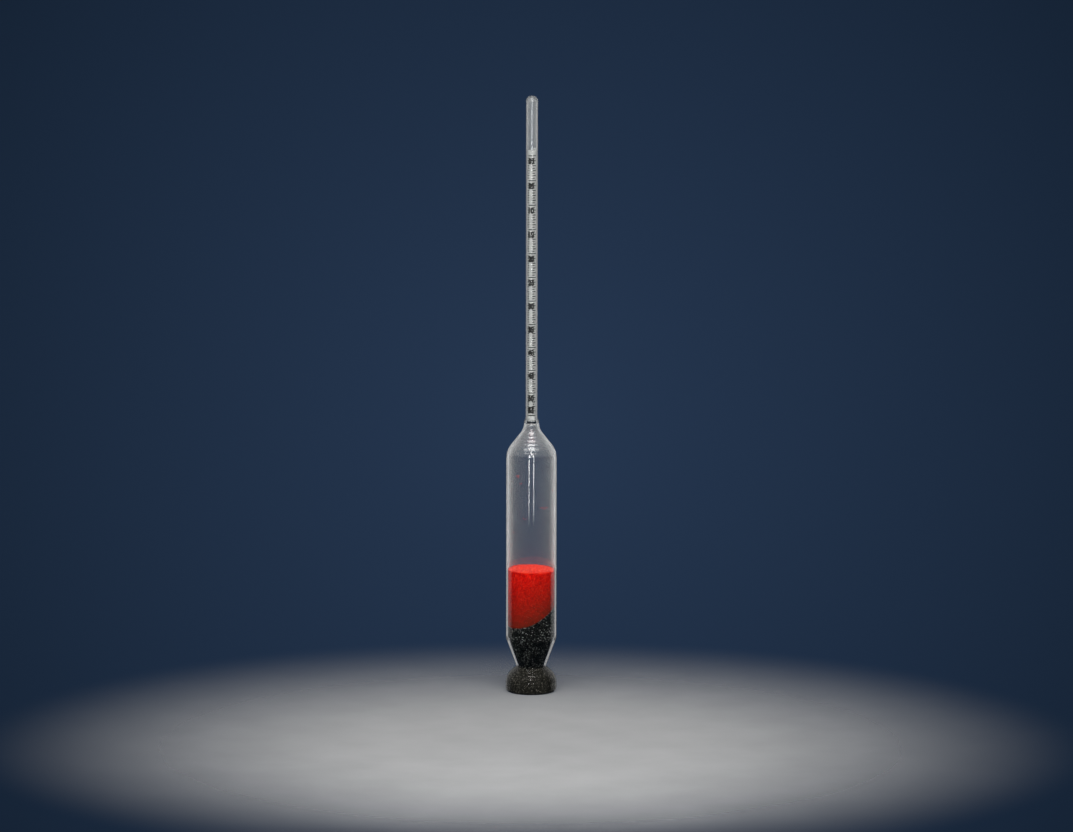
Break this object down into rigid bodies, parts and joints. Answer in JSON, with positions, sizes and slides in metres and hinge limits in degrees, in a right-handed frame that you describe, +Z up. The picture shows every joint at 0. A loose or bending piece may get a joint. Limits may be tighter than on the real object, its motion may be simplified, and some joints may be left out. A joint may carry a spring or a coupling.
{
  "type": "hydrometer",
  "caption": "Sealed glass float with a slim graduated stem, a wide bulb body over a flat foot, black ballast grit and a red wax plug inside.",
  "frame": {"origin": "centre of the flat under the foot", "axes": "+Z up the stem along the float's axis of revolution; +X the side on which the grit lies higher under the wax"},
  "size_m": [0.022, 0.022, 0.26],
  "materials": {
    "clear_glass": "clear, flame polished",
    "printed_paper": "matt white paper with black print",
    "adhesive": "milky dried adhesive",
    "black_grit": "matt black grit with paler grains",
    "red_wax": "coarse red wax, matt"
  },
  "bodies": {
    "root": {"bulb_body": "clear_glass", "stem_tube": "clear_glass", "scale_paper": "printed_paper", "scale_adhesive": "adhesive", "ballast_grit": "black_grit", "sealing_wax": "red_wax"}
  },
  "joints": []
}
